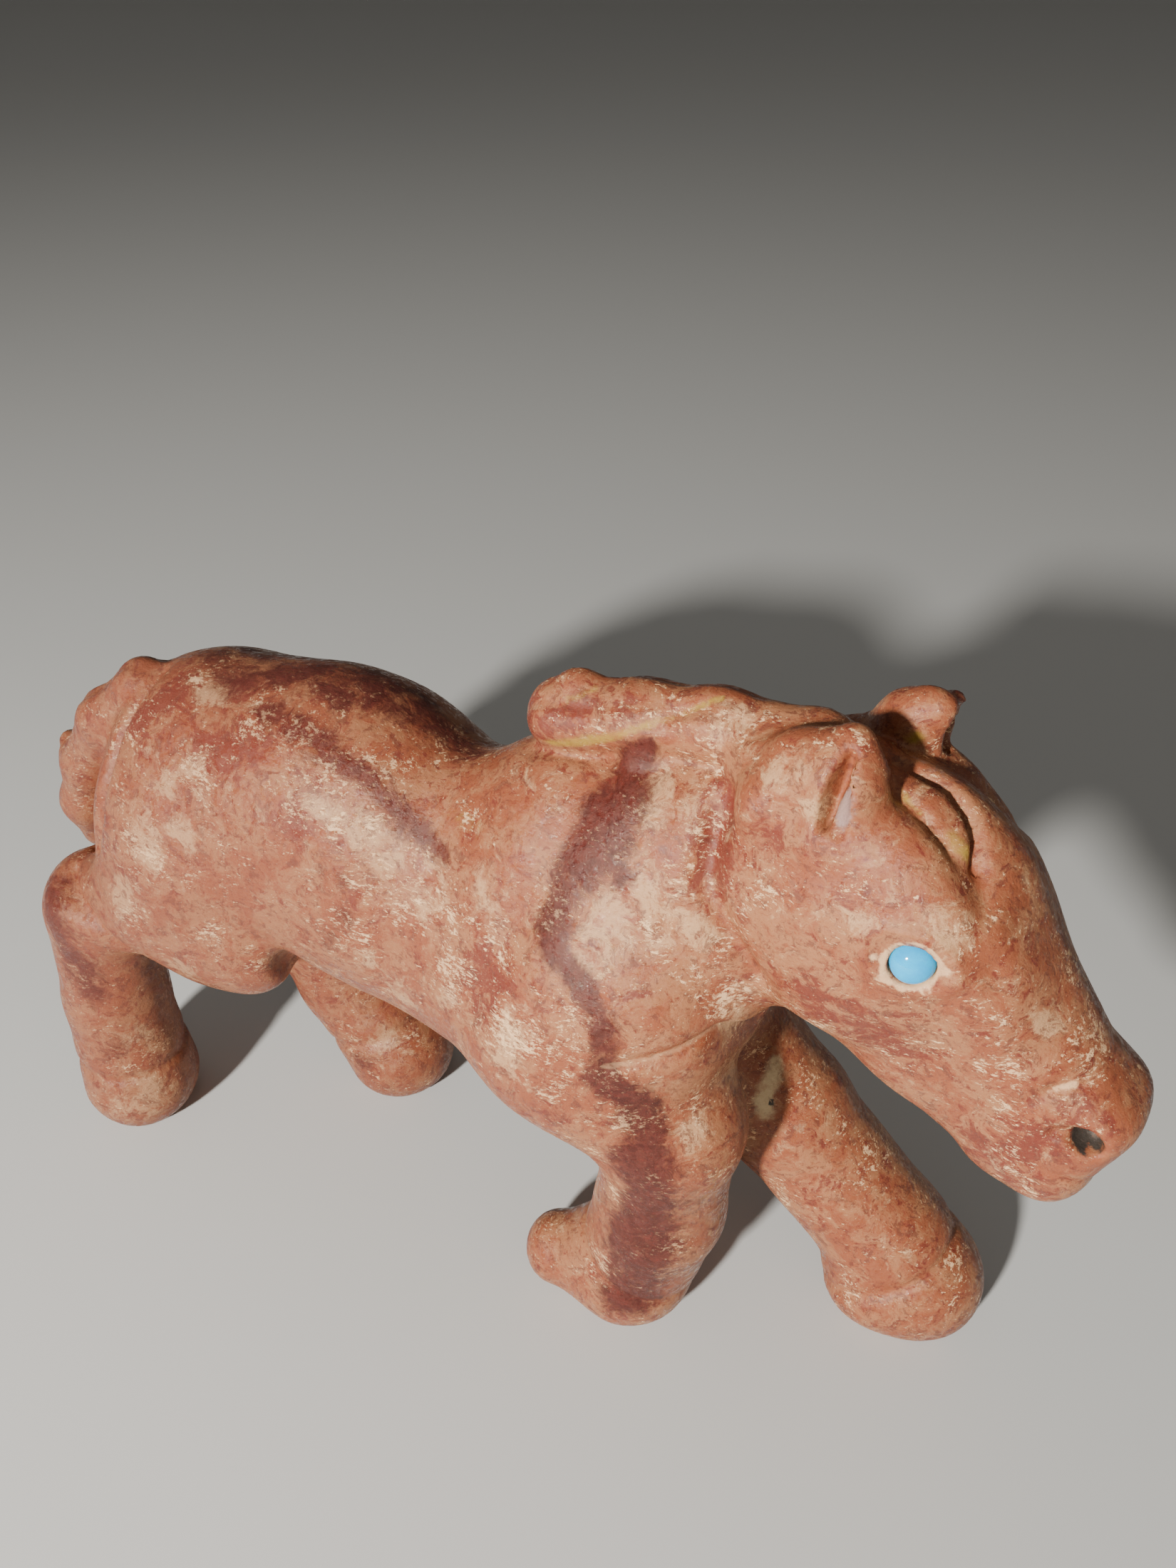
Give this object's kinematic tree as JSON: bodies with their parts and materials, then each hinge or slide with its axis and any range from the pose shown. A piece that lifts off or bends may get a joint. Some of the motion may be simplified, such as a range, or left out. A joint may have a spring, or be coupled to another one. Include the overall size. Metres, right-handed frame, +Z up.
{
  "type": "horse figurine",
  "caption": "Small polished stone horse carved in the round, striding with its head low, with a set turquoise stone for each eye.",
  "frame": {"origin": "under the middle of the whole carving, on the plane that its soles stand on", "axes": "+X toward the head, +Y toward the horse's left, +Z up"},
  "size_m": [0.0728, 0.0202, 0.0476],
  "materials": {
    "stone": "polished",
    "turquoise": "polished"
  },
  "bodies": {
    "root": {"horse": "stone", "right_eye": "turquoise", "left_eye": "turquoise"}
  },
  "joints": []
}
